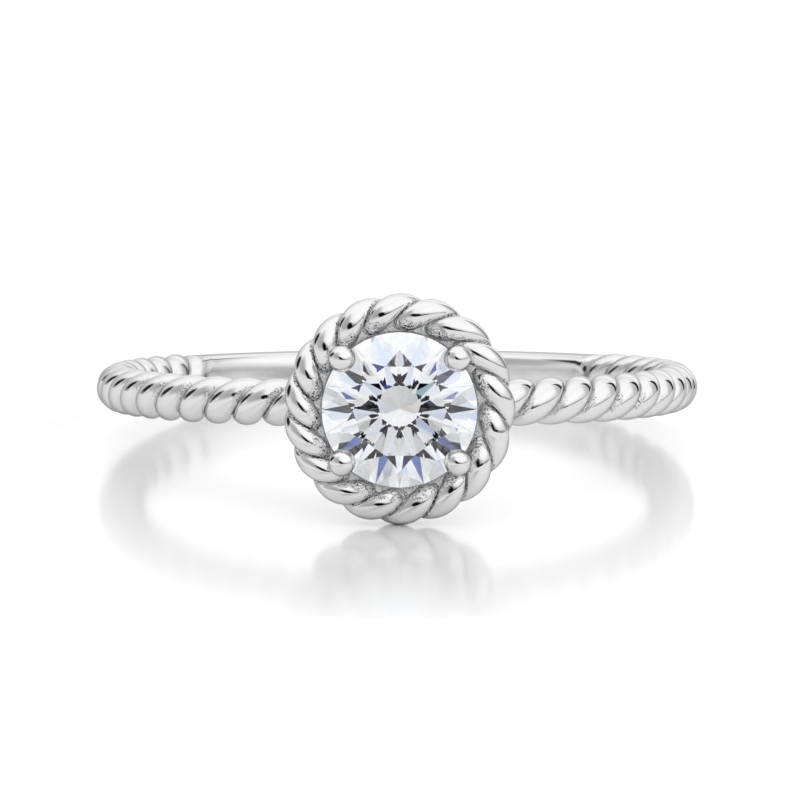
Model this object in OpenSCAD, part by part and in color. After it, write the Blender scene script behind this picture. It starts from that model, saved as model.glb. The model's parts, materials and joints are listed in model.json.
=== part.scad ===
// Twisted shank ring: a rope-twist finger ring whose round brilliant sits in four
// ball-tipped prongs inside a rope halo. The ring lies on its side as it rests on a
// table, on the lowest strand of the halo and the lower edge of the plain back band.

/* [Finger hole] */
// Inside diameter of the ring, across the crests of the strands
inner_d = 16.9; // [14:0.1:22]

/* [Rope of the shank] */
// Diameter of the rope over the crests of its strands
rope_d = 1.56; // [1.2:0.02:2.4]
// Depth of the groove between two strands
groove = 0.36; // [0.1:0.01:0.5]
// Number of strands twisted together
strands = 2; // [2:1:4]
// Number of strand crests that a full circle of this rope would show
crests = 50; // [36:1:72]
// Angle of the ring that is plain band, centred on the back
plain_arc = 94; // [40:2:140]
// Angle over which the rope sinks into the plain band
blend_arc = 5; // [2:0.5:12]

/* [Plain back band] */
// Width of the plain band along the finger
band_w = 1.38; // [1:0.02:2.2]
// Thickness of the plain band through its wall
band_t = 1.4; // [1:0.02:2.2]
// Squareness of the band's section: 2 is an oval, 8 is nearly a rectangle
band_square = 4; // [2:0.5:8]

/* [Stone] */
// Diameter of the girdle
stone_d = 5; // [4:0.05:7]
// Number of mains round the stone, each with its own kite, star and halves
stone_mains = 10; // [8:1:12]
// Width of the table, flat to flat
table_w = 2.86; // [2:0.02:3.5]
// Slope of the crown
crown_deg = 32.5; // [30:0.5:38]
// Slope of the pavilion
pavilion_deg = 41.25; // [38:0.25:43]
// Height of the girdle band
girdle_h = 0.15; // [0.05:0.01:0.3]
// Length of a star facet, as a share of the way from table to girdle
star_share = 0.5; // [0.4:0.01:0.6]
// Length of a lower half facet, as a share of the way from girdle to culet
lower_share = 0.77; // [0.7:0.01:0.85]
// Clear gap between the culet and the top of the shank
culet_gap = 0.12; // [0.1:0.01:0.6]
// Clearance between the stone and the metal that holds it
stone_gap = 0.04; // [0.02:0.01:0.1]

/* [Rope halo] */
// Diameter of the halo rope over the crests of its strands
halo_rope_d = 1.26; // [0.9:0.02:1.8]
// Depth of the groove between two strands of the halo
halo_groove = 0.33; // [0.1:0.01:0.4]
// Number of strands twisted together in the halo rope
halo_strands = 2; // [2:1:4]
// Number of strand crests round the halo
halo_crests = 17; // [12:1:28]
// Unevenness of the halo's lay: how far its strands lag at the sides
lay_drift = 5; // [0:0.5:8]
// Way from the girdle's edge out to the middle of the halo rope
halo_out = 0.6; // [0.5:0.02:1.4]
// How far the middle of the halo rope lies below the top of the girdle
halo_drop = 0.5; // [0.2:0.02:1]

/* [Prongs] */
// Number of prongs
prongs = 4; // [3:1:6]
// Diameter of a prong's wire
prong_d = 0.74; // [0.5:0.02:1.2]
// Diameter of a ball tip
ball_d = 0.88; // [0.6:0.02:1.4]
// Height of a ball tip's middle above the top of the girdle
ball_up = 0.3; // [0.1:0.02:0.6]
// Angle of the prongs from the line of the shank, seen from the front
prong_deg = 42; // [30:1:60]

/* [Seat and collar] */
// Width of the ledge that the seat ring holds under the edge of the stone
seat_ledge = 0.25; // [0.1:0.05:0.5]
// How far the seat ring reaches below the middle of the halo rope
seat_below = 0.3; // [0.1:0.05:0.6]
// Outside diameter of the collar on the shank
collar_d = 3.1; // [2.4:0.1:5]
// Width of the collar's wall
collar_w = 0.8; // [0.5:0.05:1.1]
// Height of the collar above the top of the shank
collar_up = 0.35; // [0.2:0.05:1]
// How far the collar reaches down beside the shank
collar_down = 0.45; // [0.2:0.05:0.7]
// Width of the solder seam between the collar and the shank
seam = 0.05; // [0.02:0.01:0.15]

/* [Hidden] */

// Points on a strand's share of a rope section, slices in a turn of a strand, and the
// slices that must be added together for the rope's twist to close on whole points
strand_points = 8;
turn_slices = 12;
closing = 3;
plain_slices = 20;
wire_sides = 12;
ball_sides = 16;
ring_sides = 48;

// Half and a quarter of the way round the stone from one main to the next
half_step = 180 / stone_mains;
quarter_step = half_step / 2;

// Radii and heights, measured from the middle of the finger hole
rope_r = rope_d / 2;
mid_r = inner_d / 2 + rope_r;
outer_r = mid_r + rope_r;
stone_r = stone_d / 2;
table_r = table_w / 2 / cos(half_step);
girdle_z = outer_r + culet_gap + stone_r * tan(pavilion_deg) + girdle_h;
halo_r = stone_r + halo_out;
halo_z = girdle_z - halo_drop;
ball_z = girdle_z + ball_up;
ball_r = ball_d / 2;
seat_z = girdle_z - girdle_h - stone_gap;
seat_low_z = halo_z - seat_below;
collar_r = collar_d / 2;
collar_z = outer_r + collar_up;

// The rope covers whole slices either side of the front, and the plain band the rest
section_n = strands * strand_points;
slice_arc = 360 / turn_slices * strands / crests;
half_slices = closing * round((180 - plain_arc / 2) / slice_arc / closing);
rope_end = half_slices * slice_arc;
halo_n = halo_strands * strand_points;
halo_slices = round(halo_crests * turn_slices / halo_strands);

function smooth(x) = let (t = max(0, min(1, x))) t * t * (3 - 2 * t);

// A point on a ring round the Z axis, at an angle that counts from the -Y side
function on_ring(around, out, up) = [out * sin(around), -out * cos(around), up];

// Radius of a rope's section, an angle away from a crest: round tops, sharp grooves
function lobed(away, count, top_r, depth) =
    let (pitch = 360 / count, share = min(1, 2 * abs(away / pitch - round(away / pitch))))
    top_r - depth * (1 - sqrt(1 - share * share));

// Radius of the plain band's section at an angle: a rectangle with soft corners
function squared(angle) =
    pow(pow(abs(cos(angle)) * 2 / band_t, band_square)
        + pow(abs(sin(angle)) * 2 / band_w, band_square), -1 / band_square);

// Faces of a closed tube: slices of n points, the last joined to the first n points
// with a shift that makes up for the whole twist
function tube_faces(slices, n, shift) = [
    for (i = [0:slices - 1]) for (j = [0:n - 1])
        let (last = i == slices - 1,
             next = last ? 0 : (i + 1) * n,
             step = last ? shift : 0,
             a = i * n + j,
             b = i * n + (j + 1) % n,
             c = next + (j + 1 + step) % n,
             d = next + (j + step) % n)
        each [[a, b, d], [b, c, d]]];

// Shank: a rope whose section turns as it goes round, and a back band that doesn't
shank_arounds = concat(
    [for (i = [-half_slices:half_slices]) i * slice_arc],
    [for (i = [1:plain_slices - 1]) rope_end + i * 2 * (180 - rope_end) / plain_slices]);
function shank_turn(around) =
    90 - 180 / strands + min(around, rope_end) * crests / strands;
function shank_point(around, away) =
    let (phi = shank_turn(around) + away,
         back = 180 - abs(180 - abs(around)),
         plain = smooth(1 + (back - rope_end) / blend_arc),
         r = (1 - plain) * lobed(away, strands, rope_r, groove) + plain * squared(phi))
    on_ring(around, mid_r + r * cos(phi), r * sin(phi));
shank_points = [
    for (around = shank_arounds) for (j = [0:section_n - 1])
        shank_point(around, j * 360 / section_n)];

// Halo: a rope bent into a whole circle in the head's own frame, where the stone faces
// +Z and +Y is the upper side of the ring. A crest lies at its lowest point.
function halo_turn(around) =
    (around - lay_drift * (1 - cos(around))) * halo_crests / halo_strands;
function halo_point(around, away) =
    let (phi = halo_turn(around) + away,
         r = lobed(away, halo_strands, halo_rope_d / 2, halo_groove))
    on_ring(around, halo_r + r * cos(phi), halo_z + r * sin(phi));
halo_points = [
    for (i = [0:halo_slices - 1]) for (j = [0:halo_n - 1])
        halo_point(i * 360 / halo_slices, j * 360 / halo_n)];

// Rest: the ring leans until the halo and the back band touch the table together.
// Both are seen here from the side, as [y, z] points of the ring before it leans.
halo_side = [for (p = halo_points) [-p.z, p.y]];
band_side = [for (p = shank_points) if (p.y > 0) [p.y, p.z]];
function height(p, lean) = p.y * cos(lean) - p.x * sin(lean);
function lowest(side, lean) =
    let (low = min([for (p = side) height(p, lean)]))
    [for (p = side) if (height(p, lean) == low) p][0];
function leaning(lean, tries) =
    let (front = lowest(halo_side, lean), back = lowest(band_side, lean))
    tries == 0 ? lean : leaning(atan((front.y - back.y) / (front.x - back.x)), tries - 1);
lean = leaning(atan(halo_r / (halo_z + mid_r)), 4);
lift = -height(lowest(halo_side, lean), lean);

// The origin lies midway between the front of the head and the back of the band
function reach(p) = p.x * cos(lean) + p.y * sin(lean);
back_reach = max([for (p = band_side) reach(p)]);
ball_reach = reach([-ball_z, -(stone_r * sin(prong_deg))]) - ball_r;
table_reach = reach([-girdle_z - (stone_r - table_r) * tan(crown_deg), -table_w / 2]);
centre_y = (back_reach + min(ball_reach, table_reach)) / 2;

module at_rest() {
    translate([0, -centre_y, lift]) rotate([-lean, 0, 0]) children();
}

// The head's frame: its +Z points out of the front of the ring
module at_front() {
    rotate([90, 0, 0]) children();
}

module shank() {
    shift = round(2 * half_slices * section_n / turn_slices);
    color("silver")
    at_rest()
    polyhedron(shank_points, tube_faces(len(shank_arounds), section_n, shift));
}

// The cut stone, or with grow above 0 the pocket that clears it by that much. Points
// go round in quarter steps: mains at every fourth, halves meeting midway between.
// One edge of the table lies square to the ring's upper side.
module brilliant(grow = 0) {
    count = stone_mains;
    r = stone_r + grow;
    top_z = girdle_z + grow;
    low_z = girdle_z - girdle_h - grow;
    flat_r = table_r + grow;
    star_r = flat_r * cos(half_step) * (1 - star_share) + r * star_share;
    low_r = r * (1 - lower_share);
    function crown(out) = top_z + (r - out) * tan(crown_deg);
    function pavilion(out) = low_z - (r - out) * tan(pavilion_deg);
    star_z = crown(star_r * cos(half_step));
    half_z = pavilion(low_r * cos(half_step));
    bulge = r * (1 - cos(quarter_step)) / cos(quarter_step);
    top_dip = bulge * (star_z - top_z) / (r - star_r);
    low_dip = bulge * (low_z - half_z) / (r - low_r);
    function spot(step, out, up) =
        let (angle = 90 + half_step + quarter_step * step)
        [out * cos(angle), out * sin(angle), up];
    mains = [for (k = [0:count - 1]) k];
    edge = [for (i = [0:4 * count - 1]) i];
    points = concat(
        [for (k = mains) spot(4 * k, flat_r, crown(flat_r))],
        [for (k = mains) spot(4 * k + 2, star_r, star_z)],
        [for (i = edge) spot(i, r, top_z - (i % 2) * top_dip)],
        [for (i = edge) spot(i, r, low_z + (i % 2) * low_dip)],
        [for (k = mains) spot(4 * k + 2, low_r, half_z)],
        [[0, 0, pavilion(0)]]);
    star = count;
    top = 2 * count;
    low = 6 * count;
    half = 10 * count;
    culet = 11 * count;
    faces = concat(
        [[for (k = mains) count - 1 - k]],
        [for (k = mains)
            let (n = (k + 1) % count, p = (k + count - 1) % count, g = 4 * k, h = 4 * n) each [
            [k, n, star + k],
            [k, star + k, top + g, star + p],
            [star + k, top + g + 2, top + g + 1, top + g],
            [star + k, top + h, top + g + 3, top + g + 2],
            [low + g, low + g + 1, low + g + 2, half + k],
            [low + g + 2, low + g + 3, low + h, half + k],
            [low + g, half + k, culet, half + p]]],
        [for (i = edge) let (n = (i + 1) % (4 * count)) [top + i, top + n, low + n, low + i]]);
    polyhedron(points, faces);
}

module ring_wall(out, width, low, high) {
    rotate_extrude($fn = ring_sides)
    translate([out - width, low]) square([width, high - low]);
}

// A prong: wire from the collar out to the seat, up past the girdle, and a ball on it
module prong() {
    foot = [collar_r - collar_w / 2, collar_z - collar_up / 2];
    seat = [stone_r, (seat_z + seat_low_z) / 2];
    path = [foot, (foot + seat) / 2, seat, [stone_r, ball_z]];
    for (i = [0:2]) hull() {
        translate([path[i].x, 0, path[i].y]) sphere(d = prong_d, $fn = wire_sides);
        translate([path[i + 1].x, 0, path[i + 1].y]) sphere(d = prong_d, $fn = wire_sides);
    }
    translate([stone_r, 0, ball_z]) sphere(d = ball_d, $fn = ball_sides);
}

// Prongs stand either side of the line of the shank, and evenly for other counts
function prong_angle(i) =
    prongs == 4 ? [prong_deg, 180 - prong_deg, 180 + prong_deg, -prong_deg][i]
                : prong_deg + i * 360 / prongs;

module setting() {
    shift = round(halo_crests * strand_points);
    color("gainsboro")
    at_rest() difference() {
        at_front() difference() {
            union() {
                polyhedron(halo_points, tube_faces(halo_slices, halo_n, shift));
                ring_wall(halo_r, halo_out + seat_ledge, seat_low_z, seat_z);
                ring_wall(collar_r, collar_w, outer_r - collar_down, collar_z);
                for (i = [0:prongs - 1]) rotate(prong_angle(i)) prong();
            }
            brilliant(stone_gap);
        }
        rotate(-120) rotate_extrude(angle = 60, $fn = 6 * ring_sides)
        translate([mid_r, 0]) circle(rope_r + seam, $fn = ring_sides);
    }
}

module stone() {
    color("azure")
    at_rest() at_front() brilliant();
}

shank();
setting();
stone();
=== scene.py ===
"""A twisted shank ring in rhodium-plated white gold, with a round brilliant in a rope halo."""

import json
import math

import bmesh
import bpy
from mathutils import Matrix, Vector


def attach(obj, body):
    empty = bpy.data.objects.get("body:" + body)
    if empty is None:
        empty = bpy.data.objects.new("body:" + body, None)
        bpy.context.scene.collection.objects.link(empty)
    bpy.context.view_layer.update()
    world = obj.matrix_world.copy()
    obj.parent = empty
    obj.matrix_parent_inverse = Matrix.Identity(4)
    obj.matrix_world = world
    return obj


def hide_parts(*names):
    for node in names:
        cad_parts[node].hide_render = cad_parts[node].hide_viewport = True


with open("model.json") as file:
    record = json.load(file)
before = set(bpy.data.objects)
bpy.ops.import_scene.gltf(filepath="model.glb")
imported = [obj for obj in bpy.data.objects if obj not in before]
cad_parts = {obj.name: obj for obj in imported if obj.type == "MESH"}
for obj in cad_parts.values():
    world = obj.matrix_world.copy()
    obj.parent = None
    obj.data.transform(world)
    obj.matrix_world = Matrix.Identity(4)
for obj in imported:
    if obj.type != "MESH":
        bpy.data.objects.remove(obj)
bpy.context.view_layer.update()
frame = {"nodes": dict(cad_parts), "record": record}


# Shank: the finger band, two thick strands twisted to the left into a rope that goes over
# into a plain band at the back. It is cast in one piece in white gold, plated with rhodium
# and polished, so its crests are mirrors and its grooves keep the cast skin.

MM = 0.001

HOLE = next(m for m in frame["record"]["mounts"] if m["name"] == "finger_opening")
LEAN = Vector((0, 0, 1)).rotation_difference(Vector(HOLE["axis"]))
RING_LIE = Matrix.Translation(HOLE["pos_m"]) @ LEAN.to_matrix().to_4x4()

ROPE_R = 0.78 * MM
ROPE_GROOVE = 0.36 * MM
ROPE_MID_R = HOLE["dims"]["r_mm"] * MM + ROPE_R
ROPE_TURNS = 25
ROPE_END = math.radians(133.2)
BLEND_ARC = math.radians(5)
BAND_HALF_W = 0.69 * MM
BAND_HALF_T = 0.70 * MM
BAND_SQUARE = 4

# How much cast skin is left in a groove, inside the rope and inside the plain band
GROOVE_GRIT = 0.8
INNER_GRIT = 0.4
BAND_GRIT = 0.25

# The stippled patch on each strand near the head: where it lies round the rope, how far
# that shifts to either side of the head, and how far from the head the patches go
STIPPLE_MID = math.radians(8)
STIPPLE_SHIFT = math.radians(22)
STIPPLE_HALF = math.radians(30)
STIPPLE_LAST = math.radians(75)
STIPPLE_FADE = math.radians(25)


def fade(value, start, end):
    """Eases from 0 at start to 1 at end."""
    t = min(1, max(0, (value - start) / (end - start)))
    return t * t * (3 - 2 * t)


def lobe(away, top_r, groove):
    """Radius of a two-strand rope's section, away from a crest, and how near it is to a groove."""
    pitch = away / math.pi
    share = min(1, 2 * abs(pitch - round(pitch)))
    return top_r - groove * (1 - math.sqrt(1 - share * share)), share


def band_radius(angle):
    """Radius of the plain band's section: a rectangle with soft corners."""
    across = (abs(math.cos(angle)) / BAND_HALF_T) ** BAND_SQUARE
    along = (abs(math.sin(angle)) / BAND_HALF_W) ** BAND_SQUARE
    return (across + along) ** (-1 / BAND_SQUARE)


def stipple(around, angle, phi):
    """The stippled patches near the head, each on one flank of its strand."""
    flank = math.copysign(2, around) * (angle / math.pi - round(angle / math.pi))
    aside = abs(math.remainder(phi - STIPPLE_MID + math.copysign(STIPPLE_SHIFT, around), 2 * math.pi))
    patch = fade(flank, 0.6, 0.8) * fade(aside, 1.5 * STIPPLE_HALF, 0.5 * STIPPLE_HALF)
    return patch * fade(abs(around), STIPPLE_LAST, STIPPLE_LAST - STIPPLE_FADE)


def shank_spot(around, angle):
    """A point of the shank's skin. angle turns with the rope, and stands still in the plain band."""
    back = math.pi - abs(math.pi - abs(around))
    phi = min(around, ROPE_END) * ROPE_TURNS + angle
    rope_r, groove_share = lobe(angle, ROPE_R, ROPE_GROOVE)
    plain = fade(back, ROPE_END - BLEND_ARC, ROPE_END)
    r = (1 - plain) * rope_r + plain * band_radius(phi)
    out = ROPE_MID_R + r * math.cos(phi)
    spot = Vector((out * math.sin(around), -out * math.cos(around), r * math.sin(phi)))
    inward = fade(-math.cos(phi), 0, 1)
    grit = max(GROOVE_GRIT * fade(groove_share, 0.88, 1), stipple(around, angle, phi), INNER_GRIT * inward)
    return RING_LIE @ spot, (1 - plain) * grit + plain * BAND_GRIT * inward


def finish_mesh(name, bm, sharp_deg=50):
    """Turns a bmesh into a smooth-shaded object with its hard edges kept hard."""
    for face in bm.faces:
        face.smooth = True
    for edge in bm.edges:
        edge.smooth = not edge.is_manifold or edge.calc_face_angle() < math.radians(sharp_deg)
    mesh = bpy.data.meshes.new(name)
    bm.to_mesh(mesh)
    bm.free()
    piece = bpy.data.objects.new(name, mesh)
    bpy.context.scene.collection.objects.link(piece)
    return piece


def wind(name, sides, stations, place):
    """Winds a closed tube: a circle is drawn out from station to station and joined up.

    place gives the point and the cast skin's share at a station and a section angle."""
    bm = bmesh.new()
    cast = bm.verts.layers.float.new("cast")
    first = bmesh.ops.create_circle(bm, cap_ends=False, segments=sides, radius=1)["verts"]
    first.sort(key=lambda v: math.atan2(v.co.y, v.co.x) % (2 * math.pi))

    def edges_of(ring):
        return [bm.edges.get(pair) for pair in zip(ring, ring[1:] + ring[:1])]

    def settle(ring, station):
        for i, v in enumerate(ring):
            v.co, v[cast] = place(station, 2 * math.pi * i / sides)

    ring = first[:]
    settle(ring, stations[0])
    for station in stations[1:]:
        drawn = set(bmesh.ops.extrude_edge_only(bm, edges=edges_of(ring))["geom"])
        ring = [next(w for e in v.link_edges if (w := e.other_vert(v)) in drawn) for v in ring]
        settle(ring, station)
    bmesh.ops.bridge_loops(bm, edges=edges_of(ring) + edges_of(first))
    bmesh.ops.recalc_face_normals(bm, faces=bm.faces)
    return finish_mesh(name, bm)


def grey(value):
    return value, value, value, 1


def feed(sockets, values):
    """Gives each named or numbered socket a plain value, or links it to the output it reads."""
    for name, value in values.items():
        socket = sockets[name]
        if isinstance(value, bpy.types.NodeSocket):
            socket.id_data.links.new(value, socket)
        else:
            socket.default_value = value


def add_node(tree, kind, values=None, **settings):
    """Adds a shader node with its settings, and feeds its inputs with values."""
    node = tree.nodes.new("ShaderNode" + kind)
    for name, setting in settings.items():
        setattr(node, name, setting)
    feed(node.inputs, values or {})
    return node


def cast_skin_group():
    """Polished metal with a cast skin where the wheel can't reach: a dull bloom, grit and
    dark pits."""
    group = bpy.data.node_groups.new("cast_skin", "ShaderNodeTree")
    for name, in_out, kind in (
            ("Cast", "INPUT", "Float"), ("Polish", "INPUT", "Float"), ("Grain Scale", "INPUT", "Float"),
            ("Color", "OUTPUT", "Color"), ("Roughness", "OUTPUT", "Float"), ("Height", "OUTPUT", "Float")):
        group.interface.new_socket(name, in_out=in_out, socket_type="NodeSocket" + kind)
    into = group.nodes.new("NodeGroupInput").outputs
    out = group.nodes.new("NodeGroupOutput").inputs
    place = add_node(group, "TexCoord").outputs["Object"]

    def noise(scale, detail):
        node = add_node(group, "TexNoise", {"Vector": place, "Scale": scale, "Detail": detail})
        return node.outputs["Fac"]

    def ramp(value, low, high):
        node = add_node(group, "MapRange", {"Value": value, "From Min": low, "From Max": high},
                        interpolation_type="SMOOTHSTEP")
        return node.outputs["Result"]

    def times(value, factor, plus=0):
        node = add_node(group, "Math", {0: value, 1: factor, 2: plus}, operation="MULTIPLY_ADD")
        return node.outputs[0]

    grain = noise(into["Grain Scale"], detail=2)
    patch = noise(3200, detail=2)
    wave = noise(1500, detail=1)
    grit = times(ramp(into["Cast"], 0.25, 0.9), times(ramp(patch, 0.3, 0.6), 0.7, 0.3))
    pits = times(grit, ramp(grain, 0.53, 0.62))
    bloom = times(into["Cast"], times(into["Cast"], -0.4, 0.5), into["Polish"])
    metal, pit = (0.86, 0.86, 0.865, 1), (0.05, 0.05, 0.055, 1)
    tint = add_node(group, "Mix", {"Factor": pits, "A": metal, "B": pit}, data_type="RGBA")
    feed(out, {
        "Color": tint.outputs["Result"],
        "Roughness": bloom,
        "Height": times(wave, 0.2, times(grit, grain))})
    return group


CAST_SKIN = cast_skin_group()


def white_gold(name, polish, grain_scale, depth):
    """Rhodium-plated white gold. polish is its roughness where the wheel has been, and depth
    is that of the grain."""
    gold = bpy.data.materials.new(name)
    gold.use_nodes = True
    tree = gold.node_tree
    cast = add_node(tree, "Attribute", attribute_name="cast").outputs["Fac"]
    skin = add_node(tree, "Group", {"Cast": cast, "Polish": polish, "Grain Scale": grain_scale},
                    node_tree=CAST_SKIN).outputs
    bump = add_node(tree, "Bump", {"Height": skin["Height"], "Strength": 1, "Distance": depth})
    feed(tree.nodes["Principled BSDF"].inputs, {
        "Base Color": skin["Color"], "Metallic": 1, "Roughness": skin["Roughness"],
        "Normal": bump.outputs["Normal"], "Specular Tint": grey(0.45)})
    return gold


SHANK_STEP = math.radians(0.6)
rope_steps = round(ROPE_END / SHANK_STEP)
plain_steps = 64
shank_stations = [i * ROPE_END / rope_steps for i in range(-rope_steps, rope_steps + 1)]
shank_stations += [ROPE_END + i * 2 * (math.pi - ROPE_END) / plain_steps for i in range(1, plain_steps)]

shank = wind("twisted_shank", 56, shank_stations, shank_spot)
shank.data.materials.append(
    white_gold("shank_white_gold", polish=0.045, grain_scale=24000, depth=0.03 * MM))
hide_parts("shank")
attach(shank, "root")


# Rope halo: a finer rope of two strands bent into a whole circle round the stone, with
# seventeen crests. It is soldered to the seat ring, and its inner side keeps a grainy
# cast skin.

HEAD_LIE = RING_LIE @ Matrix.Rotation(math.radians(90), 4, "X")

GIRDLE_TOP = 12.4724 * MM
HALO_HEIGHT = GIRDLE_TOP - 0.5 * MM
HALO_MID_R = 3.1 * MM
HALO_ROPE_R = 0.63 * MM
HALO_GROOVE = 0.33 * MM
HALO_CRESTS = 17
HALO_DRIFT = math.radians(5)


def halo_spot(around, angle):
    """A point of the halo's skin. The strands lag a little at the sides of the head."""
    phi = (around - HALO_DRIFT * (1 - math.cos(around))) * HALO_CRESTS / 2 + angle
    r, groove_share = lobe(angle, HALO_ROPE_R, HALO_GROOVE)
    out = HALO_MID_R + r * math.cos(phi)
    spot = Vector((out * math.sin(around), -out * math.cos(around), HALO_HEIGHT + r * math.sin(phi)))
    inward = fade(-1.8 * math.cos(phi), 0.1, 1.1)
    return HEAD_LIE @ spot, max(fade(groove_share, 0.75, 0.95), inward)


halo_steps = HALO_CRESTS * 14
halo = wind("rope_halo", 48, [2 * math.pi * i / halo_steps for i in range(halo_steps)], halo_spot)
halo.data.materials.append(
    white_gold("halo_white_gold", polish=0.045, grain_scale=15000, depth=0.08 * MM))
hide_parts("setting")
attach(halo, "root")


# Seat ring and collar: the seat is a flat ring turned under the edge of the stone, which
# the halo and the prongs are soldered to. The collar is the short tube that stands on the
# shank.

GIRDLE_R = 2.5 * MM
SEAT_BORE_R = GIRDLE_R - 0.25 * MM
SEAT_LIP_R = GIRDLE_R + 0.02 * MM
SEAT_TOP = GIRDLE_TOP - 0.24 * MM
SEAT_BORE_TOP = SEAT_TOP - 0.23 * MM
SEAT_LOW = HALO_HEIGHT - 0.3 * MM

SHANK_TOP = ROPE_MID_R + ROPE_R
COLLAR_R = 1.55 * MM
COLLAR_BORE_R = COLLAR_R - 0.8 * MM
COLLAR_LOW = SHANK_TOP - 0.45 * MM
COLLAR_TOP = SHANK_TOP + 0.35 * MM


def turned_ring(name, profile, cast_share, steps=96, corner=0.03 * MM):
    """A ring turned from a profile of (distance out, height) points, with its corners rounded."""
    bm = bmesh.new()
    cast = bm.verts.layers.float.new("cast")
    bm.faces.new([bm.verts.new((out, 0, up)) for out, up in profile])
    bmesh.ops.bevel(bm, geom=bm.verts[:], offset=corner, segments=3, profile=0.5,
                    affect="VERTICES", material=-1)
    bmesh.ops.delete(bm, geom=bm.faces[:], context="FACES_ONLY")
    bmesh.ops.spin(bm, geom=bm.edges[:] + bm.verts[:], cent=(0, 0, 0), axis=(0, 0, 1), dvec=(0, 0, 0),
                   angle=2 * math.pi, steps=steps, use_merge=True, use_duplicate=False)
    bmesh.ops.remove_doubles(bm, verts=bm.verts[:], dist=0.0005 * MM)
    bmesh.ops.recalc_face_normals(bm, faces=bm.faces)
    for v in bm.verts:
        v[cast] = cast_share
    bmesh.ops.transform(bm, matrix=HEAD_LIE, verts=bm.verts[:])
    return finish_mesh(name, bm)


seat = turned_ring("seat_ring", [
    (SEAT_BORE_R, SEAT_LOW), (HALO_MID_R, SEAT_LOW), (HALO_MID_R, SEAT_TOP),
    (SEAT_LIP_R, SEAT_TOP), (SEAT_BORE_R, SEAT_BORE_TOP)], cast_share=0.6)
seat.data.materials.append(
    white_gold("seat_white_gold", polish=0.18, grain_scale=16000, depth=0.06 * MM))
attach(seat, "root")

collar = turned_ring("collar", [
    (COLLAR_BORE_R, COLLAR_LOW), (COLLAR_R, COLLAR_LOW),
    (COLLAR_R, COLLAR_TOP), (COLLAR_BORE_R, COLLAR_TOP)], cast_share=0.3)
collar.data.materials.append(
    white_gold("collar_white_gold", polish=0.06, grain_scale=24000, depth=0.02 * MM))
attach(collar, "root")


# Prongs: four wires that lean out from the collar, stand up past the girdle and end in
# balls that were melted onto their tips and burnished down over the edge of the stone.

PRONG_SIDES = 24
PRONG_R = 0.37 * MM
BALL_R = 0.44 * MM
BALL_UP = GIRDLE_TOP + 0.3 * MM
PRONG_DEGREES = (42, 138, 222, 318)
# Distance out and height of a wire's bends, in millimetres
PRONG_BENDS = ((1.15, 10.19), (1.8, 11.1), (2.3, 11.75), (2.47, 12.15), (2.5, 12.45), (2.5, 12.77))


def prong(name, degrees):
    """A wire drawn out from bend to bend, with a ball on its tip."""
    bends = [Vector((out, 0, up)) * MM for out, up in PRONG_BENDS]
    beyond = bends[-1] + Vector((0, 0, MM))
    bm = bmesh.new()
    cast = bm.verts.layers.float.new("cast")
    foot = bmesh.ops.create_circle(bm, cap_ends=True, segments=PRONG_SIDES, radius=PRONG_R)["verts"]
    heading = (bends[1] - bends[0]).normalized()
    turn = Vector((0, 0, 1)).rotation_difference(heading).to_matrix().to_4x4()
    bmesh.ops.transform(bm, matrix=Matrix.Translation(bends[0]) @ turn, verts=foot)
    end = bm.faces[:][0]
    for a, b, c in zip(bends, bends[1:], bends[2:] + [beyond]):
        end = bmesh.ops.extrude_discrete_faces(bm, faces=[end])["faces"][0]
        onward = ((b - a).normalized() + (c - b).normalized()).normalized()
        bend = heading.rotation_difference(onward).to_matrix().to_4x4()
        move = Matrix.Translation(b) @ bend @ Matrix.Translation(-a)
        bmesh.ops.transform(bm, matrix=move, verts=end.verts[:])
        heading = onward
    caps = [f for f in bm.faces if len(f.verts) == PRONG_SIDES]
    bmesh.ops.delete(bm, geom=caps, context="FACES_ONLY")
    ball = bmesh.ops.create_uvsphere(bm, u_segments=40, v_segments=24, radius=BALL_R)["verts"]
    bmesh.ops.translate(bm, vec=(GIRDLE_R, 0, BALL_UP), verts=ball)
    for v in bm.verts:
        v[cast] = 0.6 * fade(v.co.z, BALL_UP - 0.2 * MM, BALL_UP - 0.6 * MM)
    bmesh.ops.recalc_face_normals(bm, faces=bm.faces)
    bmesh.ops.transform(bm, matrix=HEAD_LIE @ Matrix.Rotation(math.radians(degrees), 4, "Z"),
                        verts=bm.verts[:])
    return finish_mesh(name, bm)


prong_metal = white_gold("prong_white_gold", polish=0.04, grain_scale=24000, depth=0.012 * MM)
for i, degrees in enumerate(PRONG_DEGREES):
    piece = prong(f"prong_{i + 1}", degrees)
    piece.data.materials.append(prong_metal)
    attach(piece, "root")


# Stone: a round brilliant, held by its girdle. The facets are the CAD model's own, and the
# material is a clear diamond with the refraction that lights it up.

stone = frame["nodes"]["stone"]
diamond = bpy.data.materials.new("brilliant_diamond")
diamond.use_nodes = True
feed(diamond.node_tree.nodes["Principled BSDF"].inputs, {
    "Base Color": (0.98, 0.985, 1, 1), "Roughness": 0, "IOR": 2.417, "Transmission Weight": 1,
    "Specular IOR Level": 0.3, "Specular Tint": grey(0.55)})
stone.data.materials.clear()
stone.data.materials.append(diamond)
for face in stone.data.polygons:
    face.use_smooth = False


# Table: a sheet of glossy white acrylic, the plain pale ground that the ring lies on. It
# mirrors the ring close by; further away its gloss fades and a painted glow, seen by the camera
# only, turns it plain white. The stone sees it in painted greys: painted reflections of the lens
# and the dark slot on a glossy sheet, darkest in a painted shadow under the head.

TABLE_HALF = 0.6
TABLE_DROP = 0.004 * MM
# The oval round the ring where the acrylic mirrors it and the painted glow is weakest
NEAR_RING_HALF_X = 11 * MM
NEAR_RING_HALF_Y = 18 * MM
NEAR_RING_MID_Y = -4 * MM
GROUND_FAR = -48 * MM
GROUND_NEAR = -8 * MM
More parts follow.
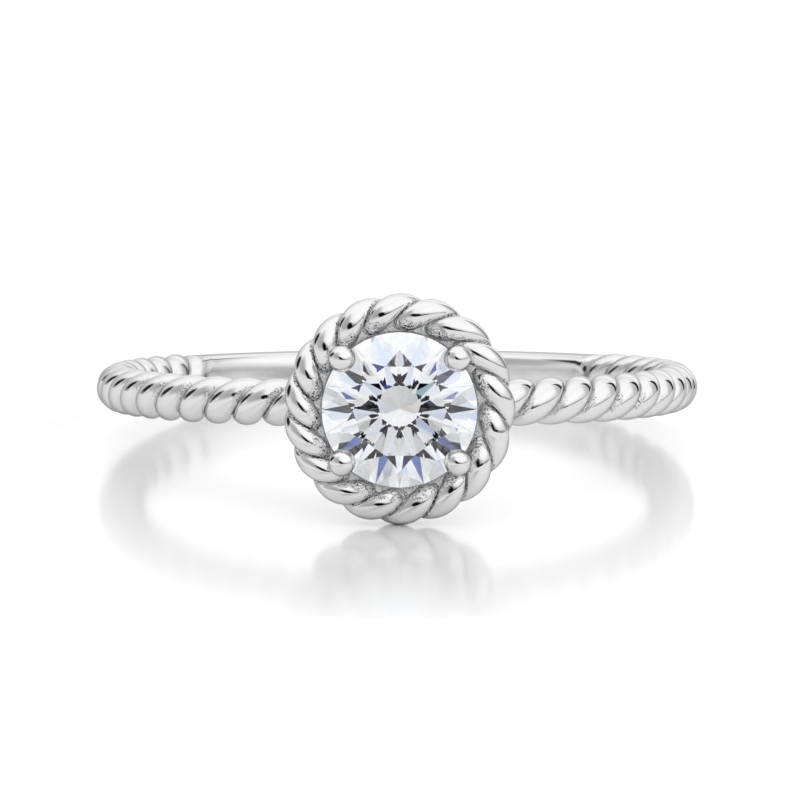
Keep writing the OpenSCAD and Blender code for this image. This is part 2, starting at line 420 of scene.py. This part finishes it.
# Place on the way from far to near, and the painted grey that the stone sees there: painted shade, near
# black for a painted shadow under the head
PAINTED_GROUND_SHADE = ((0, 0.9), (0.4, 0.66), (0.58, 0.66), (0.72, 0.86), (0.87, 0.8), (0.96, 0.1))


def glossy_acrylic():
    """White acrylic, glossy in an oval round the ring, with a painted glow for the camera outside it and
    painted shade where light through the stone sees it.
    """
    acrylic = bpy.data.materials.new("white_acrylic")
    acrylic.use_nodes = True
    tree = acrylic.node_tree
    ray = add_node(tree, "LightPath").outputs
    ground = add_node(tree, "TexCoord").outputs["Object"]

    oval = add_node(tree, "Mapping", {
        "Vector": ground,
        "Location": (0, -NEAR_RING_MID_Y / NEAR_RING_HALF_Y, 0),
        "Scale": (1 / NEAR_RING_HALF_X, 1 / NEAR_RING_HALF_Y, 0)})
    away = add_node(tree, "VectorMath", {0: oval.outputs["Vector"]}, operation="LENGTH")
    # 1 in the oval round the ring and 0 outside: more gloss and a weaker painted glow near the ring
    near_ring = add_node(tree, "MapRange", {
        "Value": away.outputs["Value"], "From Min": 0.75, "From Max": 1.15, "To Min": 1, "To Max": 0},
        interpolation_type="SMOOTHSTEP").outputs["Result"]
    gloss = add_node(tree, "Math", {0: near_ring, 1: 0.5}, operation="MULTIPLY")
    # Painted glow: for the camera the floor glows, 0.12 outside the oval and 0.02 inside, and washes its
    # soft shadows out to plain white
    glow_strength = add_node(tree, "Math", {0: near_ring, 1: -0.1, 2: 0.12}, operation="MULTIPLY_ADD")
    painted_glow = add_node(tree, "Math", {0: ray["Is Camera Ray"], 1: glow_strength.outputs[0]}, operation="MULTIPLY")

    # Painted shade that light through the stone sees on the floor: a grey by distance from the ring, with
    # a painted shadow under the head
    spot = add_node(tree, "SeparateXYZ", {"Vector": ground})
    nearness = add_node(tree, "MapRange", {
        "Value": spot.outputs["Y"], "From Min": GROUND_FAR, "From Max": GROUND_NEAR})
    under = add_node(tree, "ValToRGB", {"Fac": nearness.outputs["Result"]})
    tones = under.color_ramp.elements
    for place, tone in PAINTED_GROUND_SHADE:
        tones.new(place).color = grey(tone)
    tones.remove(tones[0])
    tones.remove(tones[-1])

    # Painted light: the camera sees a lighter copy of the floor (0.98) than the metal's reflections do
    # (0.92)
    shade = add_node(tree, "Mix", {
        "Factor": ray["Is Camera Ray"], "A": grey(0.92), "B": grey(0.98)}, data_type="RGBA")
    # Light through the stone sees the painted ground shade in place of the floor's own tone
    tint = add_node(tree, "Mix", {
        "Factor": ray["Is Transmission Ray"], "A": shade.outputs["Result"], "B": under.outputs["Color"]},
        data_type="RGBA")
    feed(tree.nodes["Principled BSDF"].inputs, {
        "Base Color": tint.outputs["Result"], "Roughness": 0.16, "IOR": 1.9,
        "Specular IOR Level": gloss.outputs[0],
        "Emission Color": grey(1), "Emission Strength": painted_glow.outputs[0]})
    return acrylic


bm = bmesh.new()
bmesh.ops.create_grid(bm, x_segments=1, y_segments=1, size=TABLE_HALF)
bmesh.ops.translate(bm, vec=(0, 0, -TABLE_DROP), verts=bm.verts[:])
table = finish_mesh("white_acrylic", bm)
table.data.materials.append(glossy_acrylic())


# Light: a white tent round the table. A dark slot for the lens, black cards beside the ring
# and grey cloths at the left draw the dark marks on the metal. Light that has passed through
# the stone sees cloths of its own: black round the lens, with blue among it.

world = bpy.data.worlds.new("white_tent")
bpy.context.scene.world = world
world.use_nodes = True
tent = world.node_tree


def maths(operation, *values, clamp=False):
    """A maths node on sockets and plain numbers."""
    node = add_node(tent, "Math", dict(enumerate(values)), operation=operation, use_clamp=clamp)
    return node.outputs[0]


facing = add_node(tent, "TexCoord").outputs["Generated"]
axes = add_node(tent, "SeparateXYZ", {"Vector": facing}).outputs
bearing = maths("ARCTAN2", axes["X"], maths("MULTIPLY", axes["Y"], -1))
height = maths("ARCSINE", axes["Z"])


def cloth(bearing_deg, height_deg, half_width_deg, half_height_deg, tilt_deg, soft):
    """How far a direction lies inside an oval cloth of the tent.

    Bearings count from the camera to the right. soft is the width of the cloth's edge, as a
    share of its half sizes."""
    side = maths("WRAP", maths("SUBTRACT", bearing, math.radians(bearing_deg)), math.pi, -math.pi)
    rise = maths("SUBTRACT", height, math.radians(height_deg))
    c, s = math.cos(math.radians(tilt_deg)), math.sin(math.radians(tilt_deg))
    along = maths("ADD", maths("MULTIPLY", side, c), maths("MULTIPLY", rise, s))
    across = maths("SUBTRACT", maths("MULTIPLY", rise, c), maths("MULTIPLY", side, s))
    along = maths("DIVIDE", along, math.radians(half_width_deg))
    across = maths("DIVIDE", across, math.radians(half_height_deg))
    reach = maths("SQRT", maths("ADD", maths("MULTIPLY", along, along), maths("MULTIPLY", across, across)))
    return maths("DIVIDE", maths("SUBTRACT", 1 + soft / 2, reach), soft, clamp=True)


def layer(below, above, share):
    """Lays one tone over another by a share. A tone is a socket or a colour."""
    mix = add_node(tent, "Mix", {"Factor": share, "A": below, "B": above}, data_type="RGBA")
    return mix.outputs["Result"]


# What the metal and the table see. A row is a cloth's grey, its bearing, height, half width,
# half height and tilt in degrees, and how soft its edge is.
glow = layer(grey(0.78), grey(1.1), maths("SMOOTH_MAX", maths("SINE", height), 0, 0.1))
for tone, *oval in (
        (0.55, -78, 10, 58, 27, 0, 0.6),
        (0.48, -54, 26, 28, 28, 0, 0.8),
        (0.80, -90, 4, 14, 12, 0, 0.8),
        (0.02, -107, 18.5, 24, 11.5, 50, 0.5),
        (1.12, 45, 38, 50, 24, 0, 0.5),
        (1.40, 170, 16, 30, 22, 0, 0.5),
        (0.60, 114, 14, 14, 30, 0, 0.9),
        (0.01, 129, 15, 6, 38, 0, 0.4),
        (0.40, -16, 14.5, 40, 9, -14, 0.8),
        (0.74, -58, 0, 54, 8, 0, 1),
        (0.30, 48, 1.5, 56, 3.5, 0, 0.7),
        (0.02, 17, 2.5, 14, 4, 0, 0.5),
        (0.005, -9, 12, 22, 9.5, -35, 0.4)):
    glow = layer(glow, grey(tone), cloth(*oval))

# What the light from the stone sees. A row starts with a cloth's colour, and goes on as above.
fire = grey(1.06)
for colour, *oval in (
        ((0.74, 0.72, 0.70), -32, 6, 13, 6, 0, 0.3),
        ((0.70, 0.72, 0.78), 32, 6, 13, 6, 0, 0.3),
        ((0.74, 0.82, 0.94), -1, 13, 26, 17, 0, 0.5),
        ((0.60, 0.62, 0.95), 24, 0, 4, 3, 0, 0.4),
        ((0.003, 0.003, 0.005), 0, 10.5, 18, 10, 0, 0.1),
        ((0.003, 0.003, 0.005), -1, 3.5, 20, 3.5, 0, 0.1),
        ((0.10, 0.16, 0.42), -1, -1, 8, 3.2, 0, 0.3),
        ((0.05, 0.09, 0.35), 9, 10, 4, 4, 0, 0.3),
        ((0.32, 0.50, 0.58), 15, 15, 2, 2, 0, 0.5)):
    fire = layer(fire, (*colour, 1), cloth(*oval))

rays = add_node(tent, "LightPath").outputs
seen = layer(glow, fire, rays["Is Transmission Ray"])
seen = layer(seen, grey(1), rays["Is Camera Ray"])
feed(tent.nodes["Background"].inputs, {"Color": seen})


# Camera: a long lens on the stone's side, a little above the table. It looks at a point just
# above the middle of the halo, which is given in the picture's own pixels.

CAMERA_RISE = math.radians(11.6)
CAMERA_YAW = math.radians(0.42)
CAMERA_AWAY = 320 * MM
PIXELS_PER_MM = 31.1
AIM_PIXELS = Vector((0.5, 9, 0))
FRAME_PIXELS = 800
SENSOR = 36

camera = bpy.data.objects.new("camera", bpy.data.cameras.new("camera"))
bpy.context.scene.collection.objects.link(camera)
bpy.context.scene.camera = camera
camera.data.sensor_width = SENSOR
camera.data.lens = SENSOR * CAMERA_AWAY / MM * PIXELS_PER_MM / FRAME_PIXELS
camera.data.clip_start = 10 * MM
camera.data.clip_end = 5
turn = Matrix.Rotation(-CAMERA_YAW, 4, "Z") @ Matrix.Rotation(math.pi / 2 - CAMERA_RISE, 4, "X")
aim = HEAD_LIE @ Vector((0, 0, HALO_HEIGHT)) + turn.to_3x3() @ AIM_PIXELS / PIXELS_PER_MM * MM
camera.matrix_world = Matrix.Translation(aim) @ turn @ Matrix.Translation((0, 0, CAMERA_AWAY))

scene = bpy.context.scene
scene.view_settings.view_transform = "Standard"
scene.cycles.max_bounces = 24
scene.cycles.transmission_bounces = 16
scene.cycles.glossy_bounces = 8
scene.cycles.use_denoising = True
